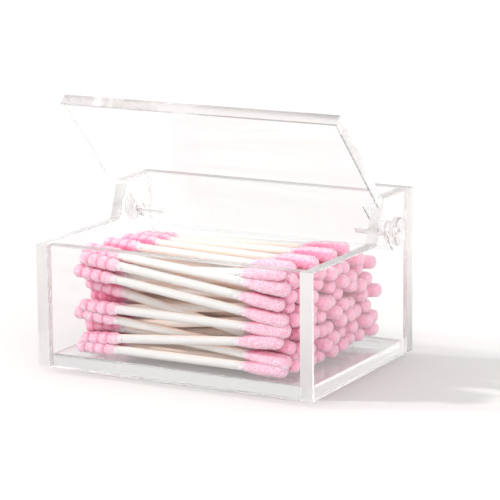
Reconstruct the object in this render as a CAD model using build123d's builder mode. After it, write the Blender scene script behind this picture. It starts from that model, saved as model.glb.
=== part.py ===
from build123d import *
import math
import os

# Cotton swab holder: a clear box of glued sheets with a T-shaped lid on two hinge pins,
# filled with layers of swabs.
# Millimetres, +Z up. The origin is on the floor under the middle of the box, and the front faces -Y.

# Box
box_width = 96.0
box_depth = 70.0
low_height = 39.0
high_height = 53.0
wall_sheet = 4.0
base_sheet = 4.0
glue_line = 0.05
edge_break = 0.3

# Feet under the base
foot_height = 2.0
foot_diameter = 9.0
foot_edge_round = 0.6
foot_inset_x = 14.0
foot_inset_y = 10.0

# Lid and hinge, with the pin axis as the reference for everything that swings
lid_sheet = 4.0
lid_open_angle = 46.0
lid_seat_gap = 0.2
pin_to_back_face = 13.5
pin_to_shoulder = 14.5
pin_to_lid_rear = 8.5
step_foot_gap = 1.6
step_slant = 5.4
step_foot_round = 1.5
pin_diameter = 2.4
pin_running_gap = 0.05
pin_fit_gap = 0.02
pin_depth_in_lid = 8.0
head_diameter = 9.0
head_thickness = 1.8
head_edge_round = 0.6
head_gap = 0.15
spacer_diameter = 6.4
spacer_thickness = 1.0
spacer_gap = 0.1

# Swabs, with a plain cotton tip at one end and a ribbed one at the other
swab_end_room = 7.5
stick_diameter = 2.4
plain_tip_diameter = 4.5
plain_tip_length = 15.0
plain_swell_length = 7.5
plain_swell_diameter = 4.275
plain_nose_length = 1.7
plain_nose_diameter = 2.25
ribbed_tip_diameter = 4.3
ribbed_tip_length = 13.5
ribbed_root_length = 2.4
ribbed_nose_length = 1.6
ribbed_nose_diameter = 2.6
rib_count = 4
rib_depth = 0.4
facet_sides = 6

# Pile of swabs, measured from the inner face of the front wall
layer_gap = 0.04
side_gap = 0.35
pile_front_gap = 0.4
pile_rear_gap = 8.0
lid_swing_gap = 0.4
swab_drift = 1.2
spread_left = 0.05
spread_right = 0.4
spread_change = 0.2
# Turns of the waves that make drift and spread uneven, in radians from one swab or layer to the next
spread_turn = 2.6
drift_turn = 1.7
drift_layer_turn = 2.3
# How far the front swab of each layer stands back at its left and right end, bottom layer first
layer_leads = ((0.0, 0.4), (0.3, 2.0), (0.0, 0.2), (0.3, 0.8), (4.6, 0.0), (0.6, 0.3), (1.6, 0.0))
# Loose swabs on top: where the left and right ends lie behind the front swab of a layer
loose_swabs = ((5.6, 0.6), (16.8, 6.8), (25.0, 17.0), (31.6, 27.0), (38.0, 38.2))

# Levels and places that follow from the sizes above
floor_of_walls = foot_height
base_top = floor_of_walls + base_sheet
low_top = floor_of_walls + low_height
high_top = floor_of_walls + high_height
front_face = -box_depth / 2
back_face = box_depth / 2
side_face = box_width / 2
inner_front = front_face + wall_sheet
inner_back = back_face - wall_sheet
inner_side = side_face - wall_sheet
pin_y = back_face - pin_to_back_face
pin_z = low_top + lid_seat_gap + lid_sheet / 2
hinge_axis = Axis((0, pin_y, pin_z), (1, 0, 0))
shoulder_y = pin_y - pin_to_shoulder
lid_rear_y = pin_y + pin_to_lid_rear
step_foot_y = shoulder_y + step_foot_gap
step_top_y = step_foot_y + step_slant
narrow_half = inner_side - spacer_thickness - 2 * spacer_gap
pin_bore = pin_diameter + 2 * pin_running_gap
pin_seat = pin_diameter + 2 * pin_fit_gap
swab_length = 2 * (inner_side - swab_end_room)

# A polygon of this many sides has a circle's area when its corners stand out by this factor
facet_factor = math.sqrt(2 * math.pi / (facet_sides * math.sin(2 * math.pi / facet_sides)))
widest_tip = max(plain_tip_diameter, ribbed_tip_diameter)
tip_half_width = widest_tip / 2 * facet_factor
tip_half_height = tip_half_width * math.cos(math.pi / facet_sides)
layer_pitch = 2 * tip_half_height + layer_gap
tip_pitch = 2 * tip_half_width + side_gap
first_layer_z = base_top + tip_half_height
layer_count = int((low_top + lid_seat_gap - base_top - lid_swing_gap) / layer_pitch)

parts_made = []


def keep(part, name):
    """Label a finished piece and keep it for writing."""
    part.label = name
    parts_made.append(part)


def base():
    """Bottom sheet, held between the four walls."""
    with BuildPart(Plane((0, 0, floor_of_walls))) as panel:
        Box(
            2 * (inner_side - glue_line),
            2 * (inner_back - glue_line),
            base_sheet,
            align=(Align.CENTER, Align.CENTER, Align.MIN),
        )
    return panel.part


def cross_wall(length, height, centre_y):
    """Wall sheet that runs across the box, with its long top edges lightly broken."""
    with BuildPart(Plane((0, centre_y, floor_of_walls))) as wall:
        Box(length, wall_sheet, height, align=(Align.CENTER, Align.CENTER, Align.MIN))
        chamfer(wall.faces().sort_by(Axis.Z)[-1].edges().filter_by(Axis.X), edge_break)
    return wall.part


def side_wall(sign):
    """Side wall: low in front, a slanted step with a rounded foot, then the ear with its hinge bore."""
    outer_plane = Plane(origin=(sign * side_face, 0, 0), x_dir=(0, 1, 0), z_dir=(1, 0, 0))
    rear_end = inner_back - glue_line
    with BuildPart() as wall:
        with BuildSketch(outer_plane):
            with BuildLine():
                Polyline(
                    (front_face, floor_of_walls),
                    (rear_end, floor_of_walls),
                    (rear_end, high_top),
                    (step_top_y, high_top),
                    (step_foot_y, low_top),
                    (front_face, low_top),
                    close=True,
                )
            make_face()
        extrude(amount=-sign * wall_sheet)
        across = wall.edges().filter_by(Axis.X)
        foot_edge = across.sort_by_distance((sign * side_face, step_foot_y, low_top))[0]
        fillet(foot_edge, step_foot_round)
        chamfer(wall.faces().filter_by(Axis.Z).sort_by(Axis.Z)[-2:].edges().filter_by(Axis.Y), edge_break)
        with BuildSketch(outer_plane):
            with Locations((pin_y, pin_z)):
                Circle(pin_bore / 2)
        extrude(amount=-sign * wall_sheet, mode=Mode.SUBTRACT)
    return wall.part


def round_foot(x, y):
    """Low round foot with a rounded lower rim."""
    with BuildPart(Plane((x, y, 0))) as foot:
        Cylinder(foot_diameter / 2, foot_height - glue_line, align=(Align.CENTER, Align.CENTER, Align.MIN))
        fillet(foot.edges().sort_by(Axis.Z)[0], foot_edge_round)
    return foot.part


def lid():
    """T-shaped plate with a blind bore for a pin in each narrow edge, drawn closed."""
    underside = low_top + lid_seat_gap
    with BuildPart() as plate:
        with BuildSketch(Plane.XY.offset(underside)):
            with BuildLine():
                Polyline(
                    (-side_face, front_face),
                    (side_face, front_face),
                    (side_face, shoulder_y),
                    (narrow_half, shoulder_y),
                    (narrow_half, lid_rear_y),
                    (-narrow_half, lid_rear_y),
                    (-narrow_half, shoulder_y),
                    (-side_face, shoulder_y),
                    close=True,
                )
            make_face()
        extrude(amount=lid_sheet)
        broad_faces = plate.faces().filter_by(Axis.Z)
        chamfer(broad_faces.edges(), edge_break)
        for sign in (-1, 1):
            with BuildSketch(Plane(origin=(sign * narrow_half, pin_y, pin_z), z_dir=(-sign, 0, 0))):
                Circle(pin_seat / 2)
            extrude(amount=pin_depth_in_lid, mode=Mode.SUBTRACT)
    return plate.part


def hinge_pin(sign):
    """Headed pin: a round head outside the ear and a shank that runs through it into the lid's edge."""
    head_inner = side_face + head_gap
    shank_end = narrow_half - pin_depth_in_lid + pin_fit_gap
    with BuildPart() as pin:
        with BuildSketch(Plane(origin=(sign * head_inner, pin_y, pin_z), z_dir=(sign, 0, 0))):
            Circle(head_diameter / 2)
        extrude(amount=head_thickness)
        rims = pin.edges().filter_by(GeomType.CIRCLE).sort_by(Axis.X)
        fillet(rims[-1 if sign > 0 else 0], head_edge_round)
        with BuildSketch(Plane(origin=(sign * head_inner, pin_y, pin_z), z_dir=(-sign, 0, 0))):
            Circle(pin_diameter / 2)
        extrude(amount=head_inner - shank_end)
    return pin.part


def hinge_spacer(sign):
    """Ring on the pin that keeps the lid's narrow part clear of the ear."""
    with BuildPart() as ring:
        inner_end = (sign * (narrow_half + spacer_gap), pin_y, pin_z)
        with BuildSketch(Plane(origin=inner_end, z_dir=(sign, 0, 0))):
            Circle(spacer_diameter / 2)
            Circle(pin_seat / 2, mode=Mode.SUBTRACT)
        extrude(amount=spacer_thickness)
    return ring.part


def faceted_bud(profile):
    """Cotton tip along +Z from the stick's end, as flat facets through (distance, radius) sections."""
    with BuildPart() as bud:
        for distance, radius in profile:
            with BuildSketch(Plane.XY.offset(distance)):
                RegularPolygon(radius * facet_factor, facet_sides, rotation=180 / facet_sides)
        loft(ruled=True)
    return bud.part


def plain_profile():
    """Bullet shape: swells from the stick, stays full, then closes to a blunt end."""
    return (
        (0, stick_diameter / 2),
        (plain_swell_length, plain_swell_diameter / 2),
        (plain_tip_length - plain_nose_length, plain_tip_diameter / 2),
        (plain_tip_length, plain_nose_diameter / 2),
    )


def ribbed_profile():
    """Row of bulges with shallow grooves between them, closing to a blunt end."""
    full = ribbed_tip_diameter / 2
    rib_pitch = (ribbed_tip_length - ribbed_root_length - ribbed_nose_length) / (rib_count - 1)
    sections = [(0, stick_diameter / 2)]
    for rib in range(rib_count):
        peak = ribbed_root_length + rib * rib_pitch
        sections.append((peak, full))
        if rib < rib_count - 1:
            sections.append((peak + rib_pitch / 2, full - rib_depth))
    sections.append((ribbed_tip_length, ribbed_nose_diameter / 2))
    return sections


def rear_limit(layer_z):
    """Rearmost place for a swab, clear of the free space behind the pile and of the lid's rear edge."""
    limit = inner_back - pile_rear_gap - tip_half_width
    reach = math.hypot(pin_to_lid_rear, lid_sheet / 2) + lid_swing_gap
    drop = pin_z - (layer_z + tip_half_height)
    if drop < reach:
        limit = min(limit, pin_y - math.sqrt(reach**2 - max(drop, 0) ** 2) - tip_half_width)
    return limit


def layer_ends(level):
    """Places behind the front wall of the left and right end of each swab in a layer."""
    if level == layer_count - 1:
        return list(loose_swabs)
    lead_left, lead_right = layer_leads[level % len(layer_leads)]
    pitch_left = tip_pitch + spread_left
    pitch_right = tip_pitch + spread_right + spread_change * math.sin(spread_turn * level)
    columns = int(box_depth / tip_pitch)
    return [(lead_left + i * pitch_left, lead_right + i * pitch_right) for i in range(columns)]


def swab_axes(level):
    """Left end and direction of each swab of a layer that fits in front of the layer's rear limit."""
    z = first_layer_z + level * layer_pitch
    first_y = inner_front + pile_front_gap + tip_half_width
    axes = []
    for i, (left_back, right_back) in enumerate(layer_ends(level)):
        if first_y + max(left_back, right_back) > rear_limit(z):
            continue
        across = right_back - left_back
        along = math.sqrt(swab_length**2 - across**2)
        drift = swab_drift * math.sin(drift_turn * i + drift_layer_turn * level)
        left_end = Vector(drift - along / 2, first_y + left_back, z)
        axes.append((left_end, Vector(along, across, 0).normalized()))
    return axes


def along_swab(left_end, direction, distance, heading):
    """Place on a swab's axis, with its local Z along the axis and flat facets facing up and down."""
    return Plane(left_end + direction * distance, x_dir=(0, 0, 1), z_dir=direction * heading).location


def group(solid, places):
    """Separate copies of one solid, one at each place."""
    with BuildPart() as copies:
        with Locations(*places):
            add(solid)
    return copies.part


# Box panels: the front wall and the base sit between the side walls, the back wall covers their rear ends
keep(base(), "base_panel")
keep(cross_wall(2 * (inner_side - glue_line), low_height, front_face + wall_sheet / 2), "front_wall")
keep(cross_wall(box_width, high_height, back_face - wall_sheet / 2), "back_wall")
for sign, side in ((-1, "left"), (1, "right")):
    keep(side_wall(sign), f"{side}_wall")

# Feet under the base's corners
for sign_y, end in ((-1, "front"), (1, "rear")):
    for sign_x, side in ((-1, "left"), (1, "right")):
        foot = round_foot(sign_x * (side_face - foot_inset_x), sign_y * (back_face - foot_inset_y))
        keep(foot, f"{end}_{side}_foot")

# Lid and what turns with it, opened to the angle at which it is shown
keep(lid().rotate(hinge_axis, -lid_open_angle), "lid_plate")
for sign, side in ((-1, "left"), (1, "right")):
    keep(hinge_pin(sign).rotate(hinge_axis, -lid_open_angle), f"{side}_hinge_pin")
    keep(hinge_spacer(sign).rotate(hinge_axis, -lid_open_angle), f"{side}_hinge_spacer")

# Swabs, layer by layer from the base up
plain_bud = faceted_bud(plain_profile())
ribbed_bud = faceted_bud(ribbed_profile())
stick_length = swab_length - ribbed_tip_length - plain_tip_length
with BuildPart() as stick:
    with BuildSketch():
        RegularPolygon(stick_diameter / 2 * facet_factor, facet_sides, rotation=180 / facet_sides)
    extrude(amount=stick_length)
for level in range(layer_count):
    axes = swab_axes(level)
    stick_start = ribbed_tip_length
    stick_end = swab_length - plain_tip_length
    sticks = group(stick.part, [along_swab(*axis, stick_start, 1) for axis in axes])
    ribbed_tips = group(ribbed_bud, [along_swab(*axis, stick_start, -1) for axis in axes])
    plain_tips = group(plain_bud, [along_swab(*axis, stick_end, 1) for axis in axes])
    keep(sticks, f"layer_{level + 1}_sticks")
    keep(ribbed_tips, f"layer_{level + 1}_ribbed_tips")
    keep(plain_tips, f"layer_{level + 1}_plain_tips")

os.makedirs("parts", exist_ok=True)
for part in parts_made:
    export_step(part, f"parts/{part.label}.step")
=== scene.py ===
# Cotton swab holder: a clear acrylic box with a hinged lid, filled with layers of pink-tipped paper swabs
import math

import bpy
import numpy as np
from mathutils import Matrix, Vector


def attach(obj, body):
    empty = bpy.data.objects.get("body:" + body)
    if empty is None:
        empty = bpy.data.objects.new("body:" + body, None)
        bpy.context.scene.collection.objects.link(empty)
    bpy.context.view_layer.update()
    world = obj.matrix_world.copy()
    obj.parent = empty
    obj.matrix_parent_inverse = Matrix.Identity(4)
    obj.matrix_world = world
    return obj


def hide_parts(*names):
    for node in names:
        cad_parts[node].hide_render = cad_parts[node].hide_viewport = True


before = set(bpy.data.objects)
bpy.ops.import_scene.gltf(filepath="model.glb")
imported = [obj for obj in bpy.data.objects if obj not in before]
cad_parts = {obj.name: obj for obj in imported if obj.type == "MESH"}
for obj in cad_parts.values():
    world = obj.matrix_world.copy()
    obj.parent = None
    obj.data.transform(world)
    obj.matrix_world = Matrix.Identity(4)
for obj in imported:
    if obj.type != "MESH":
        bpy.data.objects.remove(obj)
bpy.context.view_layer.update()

# Camera, as the photograph was taken: degrees, metres, and a 36 mm wide sensor
CAMERA_AZIMUTH = 28.56
CAMERA_ELEVATION = 12.14
CAMERA_ROLL = -0.50
CAMERA_TARGET = (0.00584, 0.00478, 0.03639)
CAMERA_DISTANCE = 0.7836
CAMERA_LENS_MM = 179.98
SENSOR_WIDTH_MM = 36.0

# Light: a low key from the left, a broad fill from the right front and an even room
KEY_HEADING = (0.924, 0.383)
KEY_ELEVATION = 33.0
KEY_SPREAD = 4.0
KEY_POWER = 2.1
FILL_HEADING = (-0.72, 0.69)
FILL_ELEVATION = 16.0
FILL_SPREAD = 70.0
FILL_POWER = 2.15
KEY_COLOUR = (1.0, 0.985, 0.96)
FILL_COLOUR = (1.0, 1.0, 1.0)
ROOM_LIGHT = 0.70
FLOOR_RADIUS = 4.0
FLOOR_POINTS = 96
FLOOR_GLOW = 0.20
LIGHT_BOUNCES = 48

# One swab, in metres
STICK_RADIUS = 0.0014
STICK_SPACE = 0.0018
STICK_SINK = 0.0040
ROOT_RADIUS = 0.00122
PLAIN_TIP_RADIUS = 0.00228
PLAIN_TIP_LENGTH = 0.0150
RIBBED_TIP_RADIUS = 0.00215
RIBBED_TIP_LENGTH = 0.0135
TIP_TAPER = 0.0020
RIB_COUNT = 4
RIB_DEPTH = 0.000442
LUMP_PITCH = 0.0012
LUMP_HEIGHT = 0.00014
FUZZ_HEIGHT = 0.00006

# Cotton's cross-section, wider than it is high, and how far single tips stray from it
TIP_WIDENING = 1.18
TIP_FLATTENING = 0.94
WIDTH_SPREAD = (0.97, 1.03)
HEIGHT_SPREAD = (0.98, 1.02)
SIZE_SPREAD = (0.97, 1.02)

# Cotton's profile, as shares of its length: where it swells, where its blunt end begins and its bluntness
PLAIN_SWELL = (-0.02, 0.52)
PLAIN_NOSE = 0.86
PLAIN_BLUNTNESS = 2.6
RIBBED_SWELL = (-0.03, 0.30)
RIBBED_NOSE = 0.88
RIBBED_BLUNTNESS = 2.4
GROOVES_BEGIN = (-0.05, 0.06)
GROOVES_END = (0.90, 0.97)
LAST_RING = 0.9995
THIN_ROOT = 0.28

# Pile, in metres: random lift and shift of the ends, slant of a swab behind the front one, rise of the left
# ends from layer to layer, and the gap over the base
END_LIFT = 0.00060
END_SHIFT = 0.00060
CROSSING = 0.0016
LEFT_RISE = 0.00020
BASE_GAP = 0.00025

# Pile towards the rear: spread of the ends as a share, drift sideways, rise at the right, fall at the left
LEFT_SPREAD = 0.98
RIGHT_SPREAD = 1.10
TOP_SPREAD = 1.04
REAR_DRIFT = 0.0012
REAR_RISE = 0.0012
REAR_FALL = 0.0018

# Limits for the middle of a tip's end, clear of the front wall and of the closed lid, and the number of top
# layers that the lid's tail swings over
FRONT_STOP = -0.0280
TOP_STOP = 0.0384
UNDER_LID = 2

# The front swab of one layer starts further back at its left end
SET_BACK = 0.0016
SET_BACK_LAYER = 5

# Swabs that cross, as column from the front and layer from the base: their right ends pass round in turn
CROSSED = (
    ((0, 8), (0, 7), (0, 6), (0, 5), (1, 3), (1, 4), (1, 5), (1, 6), (1, 7)),
    ((0, 2), (0, 3), (1, 2)),
    ((2, 7), (2, 6), (2, 5), (3, 5), (3, 6), (3, 7)),
    ((2, 2), (2, 3), (3, 3), (3, 2)),
)
LAYER_COUNT = sum(name.endswith("_sticks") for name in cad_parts)

# Painted shade between swabs: the least and most shelter by neighbours, and how far it fades by a tip's end
TIP_SHADE_COVER = (0.30, 0.95)
STICK_SHADE_COVER = (0.38, 0.95)
SHADE_COVER_FADE = 0.65

# Grid of one swab piece: points round the axis, rings along it, and the crowding of rings at a tip's end
TIP_ROUND = 36
TIP_RINGS = 60
RING_CROWDING = 1.25
STICK_ROUND = 20
STICK_RINGS = 8

# Colours, linear
PINK_LIGHT = (1.0, 0.77, 0.85, 1.0)
PINK_BODY = (0.97, 0.38, 0.55, 1.0)
# Painted shade: darker pink in the grooves of the ribbed tips
PINK_GROOVE_SHADE = (0.86, 0.30, 0.46, 1.0)
PINK_THIN = (1.0, 0.86, 0.89, 1.0)
# Painted shade: saturated pink where neighbouring swabs shade the cotton, standing in for light scattered
# in the crevices
PINK_PAINTED_SHADE = (1.0, 0.23, 0.43, 1.0)
PAPER_WHITE = (0.77, 0.76, 0.75, 1.0)
PAPER_CREAM = (0.74, 0.72, 0.70, 1.0)
# Painted shade: warm beige on the paper where neighbouring swabs shade it
PAPER_PAINTED_SHADE = (1.0, 0.83, 0.74, 1.0)
ACRYLIC_TINT = (0.992, 0.992, 0.992, 1.0)
# Warm tint of the painted shade on the cut faces
CUT_SHADE_WARMTH = (1.0, 0.985, 0.98)
ACRYLIC_IOR = 1.49
SHEET_GLOSS = (0.15, 0.15, 0.15, 1.0)
# Cut faces of each sheet: roughness, a painted shade that tints them darker for the grey look of the cut
# edges, and the painted shade of the ends that look sideways
CUT_FINISH_AND_SHADE = {
    "base_panel": (0.08, 0.80, 0.84),
    "front_wall": (0.80, 0.74, 1.0),
    "back_wall": (0.80, 0.68, 0.76),
    "left_wall": (0.35, 0.97, 0.90),
    "right_wall": (0.45, 1.0, 0.82),
    "lid_plate": (0.15, 0.95, 0.88),
}
HINGE_TINT = (0.88, 0.87, 0.86, 1.0)
RUBBER_TINT = (0.93, 0.93, 0.925, 1.0)
RUBBER_IOR = 1.43
FLOOR_COLOUR = (0.855, 0.84, 0.835, 1.0)
WHITE = (1.0, 1.0, 1.0, 1.0)

# Clear plastic: waviness in metres, share of light that passes a face and loss at a glancing angle
SHEET_WAVE = 0.00004
SHEET_PASSES = 0.94
GLANCING_LOSS = 0.6
GLANCING_POWER = 5.0
SHEET_SMUDGE = 60.0
SHEET_ROUGHNESS = (0.0, 0.03)
BROAD_FACING = 0.85
CUT_FACING = 0.55

# Fibre: strands to a metre across, up and along a swab, and the finer nap
COTTON_STRANDS = (1800.0, 1800.0, 2600.0)
COTTON_NAP = 3600.0
PAPER_STRANDS = (2600.0, 2600.0, 120.0)
PAPER_NAP = 6000.0

RANDOM_SEED = 11
random = np.random.default_rng(RANDOM_SEED)


def add_node(tree, kind, inputs=None, **settings):
    """A node of that kind, with its settings and the values of its unlinked inputs."""
    node = tree.nodes.new(kind)
    for name, value in settings.items():
        setattr(node, name, value)
    for name, value in (inputs or {}).items():
        node.inputs[name].default_value = value
    return node


def new_group(name, inputs, outputs):
    """An empty shader node group with named sockets, its input node and its output node."""
    tree = bpy.data.node_groups.new(name, "ShaderNodeTree")
    for socket, kind in inputs:
        tree.interface.new_socket(socket, in_out="INPUT", socket_type=kind)
    for socket, kind in outputs:
        tree.interface.new_socket(socket, in_out="OUTPUT", socket_type=kind)
    return tree, add_node(tree, "NodeGroupInput"), add_node(tree, "NodeGroupOutput")


def hand_smudges():
    """Group: cloudy patches of roughness between Clean and Handled, and a faint waviness as a height."""
    tree, given, result = new_group(
        "hand_smudges",
        (
            ("Place", "NodeSocketVector"),
            ("Scale", "NodeSocketFloat"),
            ("Clean", "NodeSocketFloat"),
            ("Handled", "NodeSocketFloat"),
        ),
        (("Roughness", "NodeSocketFloat"), ("Height", "NodeSocketFloat")),
    )
    link = tree.links.new
    cloud = add_node(tree, "ShaderNodeTexNoise", {"Detail": 5.0, "Roughness": 0.6})
    spread = add_node(tree, "ShaderNodeMapRange", {"From Min": 0.42, "From Max": 0.72}, clamp=True)
    wave = add_node(tree, "ShaderNodeTexNoise", {"Scale": 22.0, "Detail": 1.0})
    link(given.outputs["Place"], cloud.inputs["Vector"])
    link(given.outputs["Scale"], cloud.inputs["Scale"])
    link(cloud.outputs["Fac"], spread.inputs["Value"])
    link(given.outputs["Clean"], spread.inputs["To Min"])
    link(given.outputs["Handled"], spread.inputs["To Max"])
    link(given.outputs["Place"], wave.inputs["Vector"])
    link(spread.outputs["Result"], result.inputs["Roughness"])
    link(wave.outputs["Fac"], result.inputs["Height"])
    return tree


def spun_fibre():
    """Group: strands drawn out by Stretch, as a shade from 0 to 1 and a height that adds a finer nap."""
    tree, given, result = new_group(
        "spun_fibre",
        (("Place", "NodeSocketVector"), ("Stretch", "NodeSocketVector"), ("Nap", "NodeSocketFloat")),
        (("Shade", "NodeSocketFloat"), ("Height", "NodeSocketFloat")),
    )
    link = tree.links.new
    drawn = add_node(tree, "ShaderNodeVectorMath", operation="MULTIPLY")
    strands = add_node(tree, "ShaderNodeTexNoise", {"Scale": 1.0, "Detail": 6.0, "Roughness": 0.68})
    nap = add_node(tree, "ShaderNodeTexNoise", {"Detail": 3.0, "Roughness": 0.7})
    spread = add_node(tree, "ShaderNodeMapRange", {"From Min": 0.41, "From Max": 0.60}, clamp=True)
    height = add_node(tree, "ShaderNodeMath", operation="ADD")
    link(given.outputs["Place"], drawn.inputs[0])
    link(given.outputs["Stretch"], drawn.inputs[1])
    link(drawn.outputs["Vector"], strands.inputs["Vector"])
    link(given.outputs["Place"], nap.inputs["Vector"])
    link(given.outputs["Nap"], nap.inputs["Scale"])
    link(strands.outputs["Fac"], spread.inputs["Value"])
    link(nap.outputs["Fac"], height.inputs[0])
    link(strands.outputs["Fac"], height.inputs[1])
    link(spread.outputs["Result"], result.inputs["Shade"])
    link(height.outputs["Value"], result.inputs["Height"])
    return tree


SMUDGES = hand_smudges()
FIBRE = spun_fibre()


def new_material(name):
    """A node material with only its output: the material, its tree and the output node."""
    material = bpy.data.materials.new(name)
    material.use_nodes = True
    tree = material.node_tree
    tree.nodes.clear()
    return material, tree, add_node(tree, "ShaderNodeOutputMaterial")


def handled_surface(tree, place, smudge, roughness):
    """The smudge group on Object coordinates, and a bump from its waviness."""
    handled = add_node(tree, "ShaderNodeGroup", node_tree=SMUDGES)
    handled.inputs["Scale"].default_value = smudge
    handled.inputs["Clean"].default_value = roughness[0]
    handled.inputs["Handled"].default_value = roughness[1]
    bump = add_node(tree, "ShaderNodeBump", {"Strength": 0.2, "Distance": SHEET_WAVE})
    tree.links.new(place.outputs["Object"], handled.inputs["Place"])
    tree.links.new(handled.outputs["Height"], bump.inputs["Height"])
    return handled, bump


def light_passes(tree, body, output):
    """Let shadow rays and bounced light straight through a clear body, with a loss at a glancing angle."""
    link = tree.links.new
    slant = add_node(tree, "ShaderNodeLayerWeight", {"Blend": 0.5})
    glancing = add_node(tree, "ShaderNodeMath", {1: GLANCING_POWER}, operation="POWER")
    clear = add_node(
        tree, "ShaderNodeMath", {1: -GLANCING_LOSS, 2: SHEET_PASSES}, operation="MULTIPLY_ADD"
    )
    passed = add_node(tree, "ShaderNodeBsdfTransparent")
    rays = add_node(tree, "ShaderNodeLightPath")
    light_ray = add_node(tree, "ShaderNodeMath", operation="MAXIMUM")
    choice = add_node(tree, "ShaderNodeMixShader")
    link(slant.outputs["Facing"], glancing.inputs[0])
    link(glancing.outputs["Value"], clear.inputs[0])
    link(clear.outputs["Value"], passed.inputs["Color"])
    link(rays.outputs["Is Shadow Ray"], light_ray.inputs[0])
    link(rays.outputs["Is Diffuse Ray"], light_ray.inputs[1])
    link(light_ray.outputs["Value"], choice.inputs["Fac"])
    link(body.outputs["BSDF"], choice.inputs[1])
    link(passed.outputs["BSDF"], choice.inputs[2])
    link(choice.outputs["Shader"], output.inputs["Surface"])


def clear_plastic(name, tint, ior, clearness, smudge, roughness):
    """Clear solid plastic, smudged by hands; below a clearness of 1 it is milky."""
    material, tree, output = new_material(name)
    place = add_node(tree, "ShaderNodeTexCoord")
    handled, bump = handled_surface(tree, place, smudge, roughness)
    body = add_node(
        tree,
        "ShaderNodeBsdfPrincipled",
        {"Base Color": tint, "IOR": ior, "Transmission Weight": clearness},
    )
    tree.links.new(handled.outputs["Roughness"], body.inputs["Roughness"])
    tree.links.new(bump.outputs["Normal"], body.inputs["Normal"])
    light_passes(tree, body, output)
    return material


def clear_sheet(name, broad, cut_roughness, cut_painted_shade, end_painted_shade):
    """Acrylic sheet: faces that look along broad are polished and clear, and the cut faces across it softer
    and tinted darker with painted shade, one shade for the ends that look sideways and another for the
    rest."""
    material, tree, output = new_material(name)
    link = tree.links.new
    place = add_node(tree, "ShaderNodeTexCoord")
    handled, bump = handled_surface(tree, place, SHEET_SMUDGE, SHEET_ROUGHNESS)
    facing = add_node(tree, "ShaderNodeVectorMath", {1: broad}, operation="DOT_PRODUCT")
    size = add_node(tree, "ShaderNodeMath", operation="ABSOLUTE")
    cut = add_node(
        tree, "ShaderNodeMapRange", {"From Min": BROAD_FACING, "From Max": CUT_FACING}, clamp=True
    )
    # Painted shade: the cut faces are tinted darker than the clear sheet, by their shade times a warm tint
    cut_shade_tint = (*(cut_painted_shade * share for share in CUT_SHADE_WARMTH), 1.0)
    end_shade_tint = (*(end_painted_shade * share for share in CUT_SHADE_WARMTH), 1.0)
    split = add_node(tree, "ShaderNodeSeparateXYZ")
    sideways = add_node(tree, "ShaderNodeMath", operation="ABSOLUTE")
    painted_cut_colour = add_node(tree, "ShaderNodeMix", {"A": cut_shade_tint, "B": end_shade_tint}, data_type="RGBA")
    colour = add_node(tree, "ShaderNodeMix", {"A": ACRYLIC_TINT}, data_type="RGBA")
    softness = add_node(tree, "ShaderNodeMix", {"B": cut_roughness}, data_type="FLOAT")
    body = add_node(
        tree,
        "ShaderNodeBsdfPrincipled",
        {"IOR": ACRYLIC_IOR, "Transmission Weight": 1.0, "Specular Tint": SHEET_GLOSS},
    )
    link(place.outputs["Normal"], facing.inputs[0])
    link(facing.outputs["Value"], size.inputs[0])
    link(size.outputs["Value"], cut.inputs["Value"])
    link(place.outputs["Normal"], split.inputs["Vector"])
    link(split.outputs["X"], sideways.inputs[0])
    link(sideways.outputs["Value"], painted_cut_colour.inputs["Factor"])
    link(painted_cut_colour.outputs["Result"], colour.inputs["B"])
    link(cut.outputs["Result"], colour.inputs["Factor"])
    link(cut.outputs["Result"], softness.inputs["Factor"])
    link(handled.outputs["Roughness"], softness.inputs["A"])
    link(colour.outputs["Result"], body.inputs["Base Color"])
    link(softness.outputs["Result"], body.inputs["Roughness"])
    link(bump.outputs["Normal"], body.inputs["Normal"])
    light_passes(tree, body, output)
    return material


def broad_direction(node):
    """The way a sheet's broad faces look: the normal of its largest triangle."""
    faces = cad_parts[node].data.polygons
    return tuple(max(faces, key=lambda face: face.area).normal)


def fibre_on_swab(tree, stretch, nap):
    """The spun fibre group, laid along each swab by the place that its mesh carries."""
    place = add_node(tree, "ShaderNodeAttribute", attribute_name="swab_place")
    fibre = add_node(tree, "ShaderNodeGroup", node_tree=FIBRE)
    fibre.inputs["Stretch"].default_value = stretch
    fibre.inputs["Nap"].default_value = nap
    tree.links.new(place.outputs["Vector"], fibre.inputs["Place"])
    return fibre


def painted_shade(tree, colour, shade_colour):
    """A colour, and the painted shade colour that takes its place where neighbouring swabs shut the light
    out.
    """
    shade_cover = add_node(tree, "ShaderNodeAttribute", attribute_name="shade_cover")
    mix = add_node(tree, "ShaderNodeMix", {"B": shade_colour}, data_type="RGBA")
    tree.links.new(shade_cover.outputs["Fac"], mix.inputs["Factor"])
    tree.links.new(colour, mix.inputs["A"])
    return mix.outputs["Result"]


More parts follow.
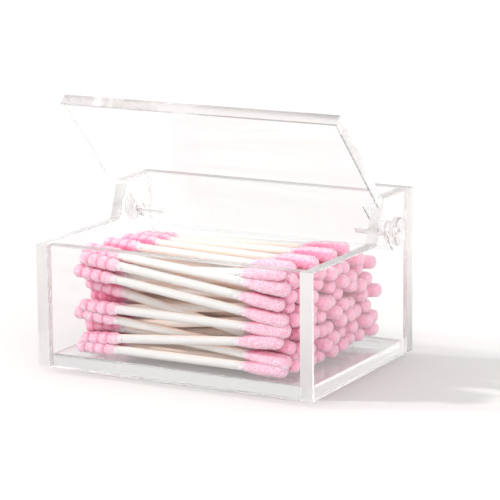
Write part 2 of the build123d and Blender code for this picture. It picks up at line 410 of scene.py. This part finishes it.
def pink_cotton():
    """Wound cotton: pale crests and fuller pink between the strands, with painted shade: darker pink in the
    grooves and saturated pink where neighbouring swabs shade it.
    """
    material, tree, output = new_material("pink_cotton")
    link = tree.links.new
    fibre = fibre_on_swab(tree, COTTON_STRANDS, COTTON_NAP)
    thin = add_node(tree, "ShaderNodeAttribute", attribute_name="thin")
    groove = add_node(tree, "ShaderNodeAttribute", attribute_name="groove")
    strands = add_node(tree, "ShaderNodeMix", {"A": PINK_BODY, "B": PINK_LIGHT}, data_type="RGBA")
    groove_shade = add_node(tree, "ShaderNodeMix", {"B": PINK_GROOVE_SHADE}, data_type="RGBA")
    roots = add_node(tree, "ShaderNodeMix", {"B": PINK_THIN}, data_type="RGBA")
    bump = add_node(tree, "ShaderNodeBump", {"Strength": 0.6, "Distance": 0.0004})
    body = add_node(
        tree,
        "ShaderNodeBsdfPrincipled",
        {
            "Roughness": 0.95,
            "Specular IOR Level": 0.15,
            "Sheen Weight": 0.5,
            "Sheen Roughness": 0.6,
            "Subsurface Weight": 0.6,
            "Subsurface Radius": (1.0, 0.55, 0.65),
            "Subsurface Scale": 0.0022,
        },
    )
    link(fibre.outputs["Shade"], strands.inputs["Factor"])
    link(strands.outputs["Result"], groove_shade.inputs["A"])
    # Painted shade: darker pink in the grooves
    link(groove.outputs["Fac"], groove_shade.inputs["Factor"])
    # Painted shade: saturated pink where neighbouring swabs shade the cotton
    link(painted_shade(tree, groove_shade.outputs["Result"], PINK_PAINTED_SHADE), roots.inputs["A"])
    link(thin.outputs["Fac"], roots.inputs["Factor"])
    link(roots.outputs["Result"], body.inputs["Base Color"])
    link(fibre.outputs["Height"], bump.inputs["Height"])
    link(bump.outputs["Normal"], body.inputs["Normal"])
    link(body.outputs["BSDF"], output.inputs["Surface"])
    return material


def paper_stick():
    """Rolled paper: long fine streaks between white and cream, painted shade in warm beige where
    neighbouring swabs shade it, and a soft sheen.
    """
    material, tree, output = new_material("paper_stick")
    link = tree.links.new
    fibre = fibre_on_swab(tree, PAPER_STRANDS, PAPER_NAP)
    streaks = add_node(tree, "ShaderNodeMix", {"A": PAPER_CREAM, "B": PAPER_WHITE}, data_type="RGBA")
    bump = add_node(tree, "ShaderNodeBump", {"Strength": 0.25, "Distance": 0.0001})
    body = add_node(tree, "ShaderNodeBsdfPrincipled", {"Roughness": 0.62, "Specular IOR Level": 0.3})
    link(fibre.outputs["Shade"], streaks.inputs["Factor"])
    # Painted shade: warm beige where neighbouring swabs shade the paper
    link(painted_shade(tree, streaks.outputs["Result"], PAPER_PAINTED_SHADE), body.inputs["Base Color"])
    link(fibre.outputs["Height"], bump.inputs["Height"])
    link(bump.outputs["Normal"], body.inputs["Normal"])
    link(body.outputs["BSDF"], output.inputs["Surface"])
    return material


def bent_rays(tree):
    """The light path node, and 1 for what is seen in gloss or through glass."""
    rays = add_node(tree, "ShaderNodeLightPath")
    bent = add_node(tree, "ShaderNodeMath", operation="MAXIMUM")
    tree.links.new(rays.outputs["Is Glossy Ray"], bent.inputs[0])
    tree.links.new(rays.outputs["Is Transmission Ray"], bent.inputs[1])
    return rays, bent.outputs["Value"]


def seen_rays(tree):
    """1 for what the eye sees, straight on, in gloss or through glass, and 0 for light that bounces on."""
    rays, bent = bent_rays(tree)
    seen = add_node(tree, "ShaderNodeMath", operation="MAXIMUM")
    tree.links.new(rays.outputs["Is Camera Ray"], seen.inputs[0])
    tree.links.new(bent, seen.inputs[1])
    return seen.outputs["Value"]


def white_floor():
    """Matt white floor that glows a little in gloss and through clear plastic, as over-lit sweeps do."""
    material, tree, output = new_material("white_floor")
    link = tree.links.new
    bent = bent_rays(tree)[1]
    share = add_node(tree, "ShaderNodeMath", {1: FLOOR_GLOW}, operation="MULTIPLY")
    matt = add_node(tree, "ShaderNodeBsdfDiffuse", {"Color": FLOOR_COLOUR})
    glow = add_node(tree, "ShaderNodeEmission", {"Color": WHITE, "Strength": 1.0})
    choice = add_node(tree, "ShaderNodeMixShader")
    link(bent, share.inputs[0])
    link(share.outputs["Value"], choice.inputs["Fac"])
    link(matt.outputs["BSDF"], choice.inputs[1])
    link(glow.outputs["Emission"], choice.inputs[2])
    link(choice.outputs["Shader"], output.inputs["Surface"])
    return material


def surface(name, points):
    """One mesh object from a stack of tubes.

    points has the shape (tubes, rings, round, 3). Neighbouring rings are joined by quads, the last point of
    a ring meets its first, and the two end rings of each tube are closed by flat caps.
    """
    tubes, rings, around = points.shape[:3]
    index = np.arange(tubes * rings * around).reshape(tubes, rings, around)
    ahead = np.roll(index, -1, axis=2)
    quads = np.stack((index[:, :-1], ahead[:, :-1], ahead[:, 1:], index[:, 1:]), axis=-1).reshape(-1, 4)
    caps = np.concatenate((index[:, 0, ::-1], index[:, -1]))
    mesh = bpy.data.meshes.new(name)
    mesh.from_pydata(points.reshape(-1, 3), [], quads.tolist() + caps.tolist())
    mesh.shade_smooth()
    piece = bpy.data.objects.new(name, mesh)
    bpy.context.scene.collection.objects.link(piece)
    return piece


def note(piece, name, kind, values):
    """Keep one value for each vertex of a piece as a named attribute."""
    field = "vector" if kind == "FLOAT_VECTOR" else "value"
    attribute = piece.data.attributes.new(name, kind, "POINT")
    attribute.data.foreach_set(field, np.ascontiguousarray(values, dtype=np.float32).ravel())


def stick_ends(node):
    """Left and right end of each stick in a layer: the corners at each end of the CAD sticks, split where
    the next stick begins, and the middle of each bunch."""
    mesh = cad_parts[node].data
    corners = np.empty(len(mesh.vertices) * 3)
    mesh.vertices.foreach_get("co", corners)
    corners = corners.reshape(-1, 3)
    middle_x = (corners[:, 0].min() + corners[:, 0].max()) / 2
    ends = []
    for bunch in (corners[corners[:, 0] < middle_x], corners[corners[:, 0] >= middle_x]):
        bunch = bunch[np.argsort(bunch[:, 1])]
        breaks = np.flatnonzero(np.diff(bunch[:, 1]) > STICK_SPACE) + 1
        ends.append(np.array([(b.min(axis=0) + b.max(axis=0)) / 2 for b in np.split(bunch, breaks)]))
    return ends


def smooth_step(low, high, value):
    """0 below low, 1 above high, and a cubic ease between them."""
    t = np.clip((value - low) / (high - low), 0.0, 1.0)
    return t * t * (3 - 2 * t)


def blunt_end(along, nose, bluntness):
    """Share of the radius: 1 up to the nose, then a superellipse that closes at the end."""
    past = np.clip((along - nose) / (1 - nose), 0.0, 1.0)
    return (1 - past**bluntness) ** (1 / bluntness)


def plain_profile(along):
    """Bullet: the radius eases from the root to its full size over half the length, and ends blunt."""
    swell = ROOT_RADIUS + (PLAIN_TIP_RADIUS - ROOT_RADIUS) * smooth_step(*PLAIN_SWELL, along)
    return swell * blunt_end(along, PLAIN_NOSE, PLAIN_BLUNTNESS), np.zeros_like(along)


def ribbed_profile(along):
    """Row of bulges over a swelling core: grooves cut where the absolute value of a sine is low, past the
    taper that thins out along the stick, with a blunt end. Gives the radius and the groove, from 0 to 1."""
    taper = TIP_TAPER / (TIP_TAPER + RIBBED_TIP_LENGTH)
    ribbed = (along - taper) / (1 - taper)
    swell = ROOT_RADIUS + (RIBBED_TIP_RADIUS - ROOT_RADIUS) * smooth_step(*RIBBED_SWELL, along)
    wave = np.abs(np.sin(np.pi * RIB_COUNT * ribbed))
    ribs_only = smooth_step(*GROOVES_BEGIN, ribbed) * (1 - smooth_step(*GROOVES_END, ribbed))
    groove = (1 - wave) ** 2 * ribs_only
    return (swell - RIB_DEPTH * groove) * blunt_end(ribbed, RIBBED_NOSE, RIBBED_BLUNTNESS), groove


def lumps(place, phase):
    """Soft unevenness: three crossing sine waves of about one lump pitch, each swab with its own phases."""
    k = 2 * np.pi / LUMP_PITCH
    x, y, z = np.moveaxis(place, -1, 0)
    return (
        np.sin(k * (0.8 * x + 0.5 * z) + phase[:, 0, None, None])
        + np.sin(k * (0.9 * y - 0.4 * z) + phase[:, 1, None, None])
        + np.sin(k * (0.6 * z + 0.5 * x - 0.5 * y) + phase[:, 2, None, None])
    ) / 3


def shade_cover_at(points, centres, own, pile, reach, least, most):
    """How far the neighbouring swabs shut in each point, from 0 to 1; it sets where painted shade goes.

    Each other swab is a disc of the radius reach in the cross-section at the point's x. It takes the share
    of a half turn that it spans as seen from the point, times the cosine of its direction to the outward
    one. A sum of the shares below least is open, and one above most is wholly covered.
    """
    pile_left, pile_right = pile
    slope = (pile_right - pile_left) / (pile_right - pile_left)[:, :1]
    outward = points - centres[:, :, None]
    outward /= np.maximum(np.linalg.norm(outward, axis=-1, keepdims=True), 1e-9)
    total = np.zeros(points.shape[:3])
    for swab in range(len(pile_left)):
        disc = pile_left[swab] + slope[swab] * (points[..., :1] - pile_left[swab, 0])
        away = disc - points
        distance = np.maximum(np.linalg.norm(away, axis=-1), reach)
        cosine = np.clip((outward * away).sum(axis=-1) / distance, 0.0, 1.0)
        span = np.arcsin(reach / distance) * 2 / np.pi
        total += np.where((own == swab)[:, None, None], 0.0, cosine * span)
    return smooth_step(least, most, total)


def tubes_along(starts, stops, radius, rings_at, widths, heights):
    """Tubes from starts to stops: radius has the shape (tubes, rings, round), drawn out by widths across
    and by heights up. Gives the points, their places in their own swab, along Z, and the rings' middles."""
    span = stops - starts
    forward = span / np.linalg.norm(span, axis=1, keepdims=True)
    side = np.cross((0.0, 0.0, 1.0), forward)
    side /= np.linalg.norm(side, axis=1, keepdims=True)
    up = np.cross(forward, side)
    angle = np.linspace(0, 2 * np.pi, radius.shape[2], endpoint=False)
    across = radius * np.cos(angle) * widths[:, None, None]
    upward = radius * np.sin(angle) * heights[:, None, None]
    axis = starts[:, None] + span[:, None] * rings_at[None, :, None]
    points = (
        axis[:, :, None]
        + across[..., None] * side[:, None, None]
        + upward[..., None] * up[:, None, None]
    )
    length = np.linalg.norm(span, axis=1)[:, None, None] * rings_at[None, :, None]
    place = np.stack((across, upward, np.broadcast_to(length, across.shape)), axis=-1)
    return points, place, axis


def cotton_tips(name, roots, points_to, length, profile, own, pile):
    """Cotton tips outwards from a taper along the stick: a profile turned round the axis, uneven by lumps
    and a fine fuzz. Each point keeps its place, its shelter for painted shade, its groove and thinness."""
    count = len(roots)
    outward = roots - points_to
    outward /= np.linalg.norm(outward, axis=1, keepdims=True)
    rings_at = 1 - (1 - np.linspace(0, 1, TIP_RINGS)) ** RING_CROWDING
    base_radius, groove = profile(rings_at * LAST_RING)
    widths = TIP_WIDENING * random.uniform(*WIDTH_SPREAD, count)
    heights = TIP_FLATTENING * random.uniform(*HEIGHT_SPREAD, count)
    sizes = random.uniform(*SIZE_SPREAD, count)
    phase = random.uniform(0, 2 * np.pi, (count, 3))
    grid = (count, TIP_RINGS, TIP_ROUND)
    radius = np.broadcast_to(base_radius[None, :, None] * sizes[:, None, None], grid)
    tops = roots + outward * length
    starts = roots - outward * TIP_TAPER
    place = tubes_along(starts, tops, radius, rings_at, widths, heights)[1]
    uneven = LUMP_HEIGHT * lumps(place, phase) + FUZZ_HEIGHT * random.standard_normal(place.shape[:3])
    uneven *= np.minimum(1, base_radius / STICK_RADIUS)[None, :, None]
    points, place, axis = tubes_along(starts, tops, radius + uneven, rings_at, widths, heights)
    piece = surface(name, points)
    note(piece, "swab_place", "FLOAT_VECTOR", place + random.uniform(0, 1, (count, 1, 1, 3)))
    # Painted shade: shelter by neighbouring swabs, faded towards the tip's end
    shade_cover = shade_cover_at(points, axis, own, pile, PLAIN_TIP_RADIUS, *TIP_SHADE_COVER)
    note(piece, "shade_cover", "FLOAT", shade_cover * (1 - SHADE_COVER_FADE * rings_at[None, :, None] ** 2))
    note(piece, "groove", "FLOAT", np.broadcast_to(groove[None, :, None], grid))
    thin = 1 - smooth_step(0.0, THIN_ROOT, rings_at)
    note(piece, "thin", "FLOAT", np.broadcast_to(thin[None, :, None], grid))
    return piece


def paper_sticks(name, lefts, rights, own, pile):
    """Paper sticks, round and straight, that run a little way into the cotton at each end."""
    span = rights - lefts
    sink = span / np.linalg.norm(span, axis=1, keepdims=True) * STICK_SINK
    rings_at = np.linspace(0, 1, STICK_RINGS)
    radius = np.full((len(lefts), STICK_RINGS, STICK_ROUND), STICK_RADIUS)
    even = np.ones(len(lefts))
    points, place, axis = tubes_along(lefts - sink, rights + sink, radius, rings_at, even, even)
    piece = surface(name, points)
    # Painted shade: shelter by neighbouring swabs along the stick
    note(piece, "shade_cover", "FLOAT", shade_cover_at(points, axis, own, pile, STICK_RADIUS, *STICK_SHADE_COVER))
    note(piece, "swab_place", "FLOAT_VECTOR", place + random.uniform(0, 1, (len(lefts), 1, 1, 3)))
    return piece


def layer_of_swabs(layer):
    """Left and right stick ends of one layer, each tipped a little out of level.

    Towards the rear the right ends spread and the left ones draw in. By the square of the column's share
    they drift, rise at the right and fall at the left. The bottom layer's lift is only upwards, and the
    top one's only downwards.
    """
    lefts, rights = stick_ends(f"layer_{layer}_sticks")
    count = len(lefts)
    rearward = np.linspace(0, 1, count) ** 2
    under_lid = layer > LAYER_COUNT - UNDER_LID
    right_spread = TOP_SPREAD if under_lid else RIGHT_SPREAD
    for ends, spread in ((lefts, LEFT_SPREAD), (rights, right_spread)):
        ends[:, 0] += REAR_DRIFT * rearward
        ends[:, 1] = ends[0, 1] + spread * (ends[:, 1] - ends[0, 1])
        ends[:, 1] += random.uniform(-END_SHIFT, END_SHIFT, count)
    lifts = random.uniform(-END_LIFT, END_LIFT, (2, count))
    slants = random.uniform(-CROSSING, CROSSING, count) * (np.arange(count) > 0)
    lefts[:, 2] -= REAR_FALL * rearward * (layer - 1) / (LAYER_COUNT - 1)
    if layer == 1:
        lefts[:, 2] += BASE_GAP + np.abs(lifts[0])
        rights[:, 2] += BASE_GAP + np.abs(lifts[1]) + REAR_RISE * rearward
    elif layer == LAYER_COUNT:
        lefts[:, 2] -= np.abs(lifts[0])
        rights[:, 2] -= np.abs(lifts[1])
    else:
        lefts[:, 2] += lifts[0] + slants + LEFT_RISE * (layer - 1)
        rights[:, 2] += lifts[1] + REAR_RISE * rearward * (not under_lid)
    return lefts, rights


def cross(layer_ends):
    """Pass the right ends of the crossed swabs round, each to the swab before it in its turn."""
    for turn in CROSSED:
        places = [layer_ends[layer - 1][1][column].copy() for column, layer in turn]
        for (column, layer), place in zip(turn, places[1:] + places[:1]):
            layer_ends[layer - 1][1][column] = place


def keep_inside(ends, others, share):
    """Move stick ends so that their tips, drawn on past them by a share of the swab's span, stop behind the
    front wall and under the lid: the tip's end is at end + share * (end - other), solved for the end."""
    ends[:, 1] = np.maximum(ends[:, 1], (FRONT_STOP + share * others[:, 1]) / (1 + share))
    ends[:, 2] = np.minimum(ends[:, 2], (TOP_STOP + share * others[:, 2]) / (1 + share))


def dress(piece, material, node):
    """Finish a swab piece, let it stand for its CAD node and ride on the box."""
    piece.data.materials.append(material)
    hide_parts(node)
    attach(piece, "box")


def finish_node(node, material):
    """Give a CAD node its finish."""
    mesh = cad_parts[node].data
    mesh.materials.clear()
    mesh.materials.append(material)


def heading_light(name, heading, elevation, spread, power, colour):
    """A distant lamp whose light travels along the floor heading and comes down at that elevation."""
    lamp = bpy.data.lights.new(name, "SUN")
    lamp.energy = power
    lamp.angle = math.radians(spread)
    lamp.color = colour
    fall = math.tan(math.radians(elevation)) * math.hypot(*heading)
    lamp_object = bpy.data.objects.new(name, lamp)
    lamp_object.rotation_euler = Vector((*heading, -fall)).to_track_quat("-Z", "Y").to_euler()
    bpy.context.scene.collection.objects.link(lamp_object)


def room():
    """Even white room: full white to the eye and in gloss and glass, and a softer level as light."""
    world = bpy.data.worlds.new("room")
    world.use_nodes = True
    tree = world.node_tree
    tree.nodes.clear()
    link = tree.links.new
    light = add_node(tree, "ShaderNodeBackground", {"Color": WHITE, "Strength": ROOM_LIGHT})
    backdrop = add_node(tree, "ShaderNodeBackground", {"Color": WHITE, "Strength": 1.0})
    choice = add_node(tree, "ShaderNodeMixShader")
    output = add_node(tree, "ShaderNodeOutputWorld")
    link(seen_rays(tree), choice.inputs["Fac"])
    link(light.outputs["Background"], choice.inputs[1])
    link(backdrop.outputs["Background"], choice.inputs[2])
    link(choice.outputs["Shader"], output.inputs["Surface"])
    bpy.context.scene.world = world


def floor():
    """Round floor: one flat face inside a circle of points, level with the feet."""
    angle = np.linspace(0, 2 * np.pi, FLOOR_POINTS, endpoint=False)
    ring = np.stack((np.cos(angle), np.sin(angle), np.zeros_like(angle)), axis=1) * FLOOR_RADIUS
    mesh = bpy.data.meshes.new("floor")
    mesh.from_pydata(ring, [], [list(range(len(ring)))])
    mesh.materials.append(white_floor())
    disc = bpy.data.objects.new("floor", mesh)
    bpy.context.scene.collection.objects.link(disc)


def camera():
    """Camera on the fitted line of sight: turned by the azimuth, tipped by the elevation, then rolled."""
    lens = bpy.data.cameras.new("camera")
    lens.lens = CAMERA_LENS_MM
    lens.sensor_width = SENSOR_WIDTH_MM
    eye = bpy.data.objects.new("camera", lens)
    turn = (
        Matrix.Rotation(math.radians(CAMERA_AZIMUTH), 3, "Z")
        @ Matrix.Rotation(math.radians(90 - CAMERA_ELEVATION), 3, "X")
        @ Matrix.Rotation(math.radians(CAMERA_ROLL), 3, "Z")
    )
    eye.rotation_euler = turn.to_euler()
    eye.location = Vector(CAMERA_TARGET) + turn.col[2] * CAMERA_DISTANCE
    bpy.context.scene.collection.objects.link(eye)
    bpy.context.scene.camera = eye


# Clear pieces keep their CAD shape
for node, cut_finish_and_shade in CUT_FINISH_AND_SHADE.items():
    finish_node(node, clear_sheet(f"clear_acrylic_{node}", broad_direction(node), *cut_finish_and_shade))
hinge_acrylic = clear_plastic(
    "clear_hinge", HINGE_TINT, ACRYLIC_IOR, clearness=0.88, smudge=300.0, roughness=(0.05, 0.12)
)
soft_rubber = clear_plastic(
    "clear_foot", RUBBER_TINT, RUBBER_IOR, clearness=0.6, smudge=400.0, roughness=(0.12, 0.22)
)
for side in ("left", "right"):
    finish_node(f"{side}_hinge_pin", hinge_acrylic)
    finish_node(f"{side}_hinge_spacer", hinge_acrylic)
    finish_node(f"front_{side}_foot", soft_rubber)
    finish_node(f"rear_{side}_foot", soft_rubber)

# Swabs: the ends of every stick in the pile, then the pieces layer by layer
layer_ends = [layer_of_swabs(layer) for layer in range(1, LAYER_COUNT + 1)]
cross(layer_ends)
layer_ends[SET_BACK_LAYER - 1][0][0, 1] += SET_BACK
for lefts, rights in layer_ends:
    span = np.linalg.norm(rights - lefts, axis=1)
    keep_inside(lefts, rights, RIBBED_TIP_LENGTH / span)
    keep_inside(rights, lefts, PLAIN_TIP_LENGTH / span)
pile = tuple(np.concatenate(ends) for ends in zip(*layer_ends))

cotton = pink_cotton()
paper = paper_stick()
first = 0
for layer, (lefts, rights) in enumerate(layer_ends, start=1):
    own = np.arange(first, first + len(lefts))
    first += len(lefts)
    sticks = paper_sticks(f"sticks_{layer}", lefts, rights, own, pile)
    dress(sticks, paper, f"layer_{layer}_sticks")
    ribbed = cotton_tips(
        f"ribbed_buds_{layer}", lefts, rights, RIBBED_TIP_LENGTH, ribbed_profile, own, pile
    )
    dress(ribbed, cotton, f"layer_{layer}_ribbed_tips")
    plain = cotton_tips(
        f"plain_buds_{layer}", rights, lefts, PLAIN_TIP_LENGTH, plain_profile, own, pile
    )
    dress(plain, cotton, f"layer_{layer}_plain_tips")

# Studio
floor()
room()
heading_light("key", KEY_HEADING, KEY_ELEVATION, KEY_SPREAD, KEY_POWER, KEY_COLOUR)
heading_light("fill", FILL_HEADING, FILL_ELEVATION, FILL_SPREAD, FILL_POWER, FILL_COLOUR)
camera()
scene = bpy.context.scene
scene.view_settings.view_transform = "Standard"
scene.cycles.max_bounces = LIGHT_BOUNCES
scene.cycles.glossy_bounces = LIGHT_BOUNCES
scene.cycles.transmission_bounces = LIGHT_BOUNCES
scene.cycles.transparent_max_bounces = LIGHT_BOUNCES

bpy.context.view_layer.update()
